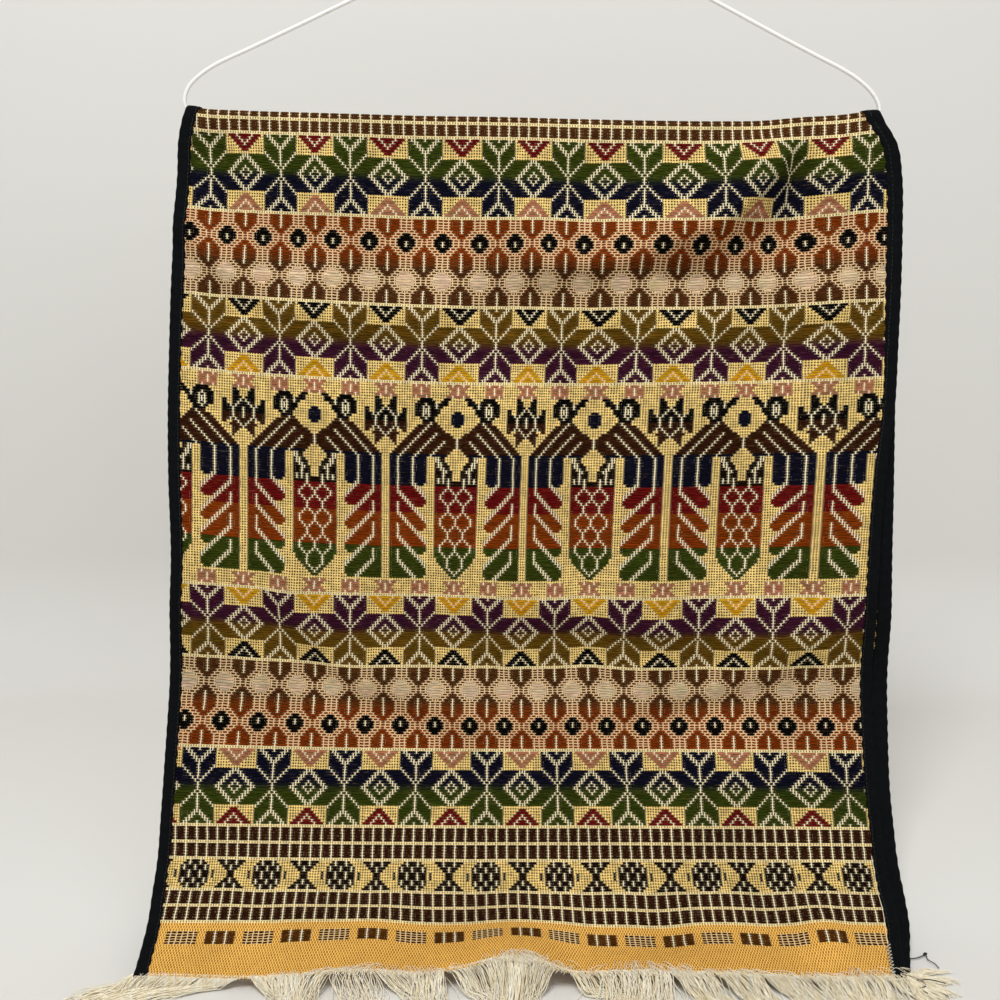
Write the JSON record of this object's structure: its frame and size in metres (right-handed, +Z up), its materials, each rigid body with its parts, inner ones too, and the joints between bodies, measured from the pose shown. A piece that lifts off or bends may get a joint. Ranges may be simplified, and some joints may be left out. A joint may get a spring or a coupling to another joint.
{
  "type": "woven wall hanging on a coat hanger",
  "caption": "Brocaded runner with bound sides and fringed ends, draped over the bar of a coated wire coat hanger so that its front end sweeps forward.",
  "frame": {"origin": "seat inside the top of the hanger's hook, midway between the hanger's two ends", "axes": "+Z up, +X along the hanger's bar to the right as seen from the front, +Y away from the front flap towards the back flap"},
  "size_m": [0.4859, 0.2032, 0.6693],
  "materials": {
    "brocade": "matte hand-woven cotton with brocaded bands",
    "tape": "matte black cotton binding",
    "warp_ends": "loose grey-cream cotton warp ends",
    "coated_wire": "smooth white coating, half gloss"
  },
  "bodies": {
    "root": {"woven_panel": "brocade", "binding_left": "tape", "binding_right": "tape", "fringe_front": "warp_ends", "fringe_back": "warp_ends", "hanger": "coated_wire"}
  },
  "joints": []
}
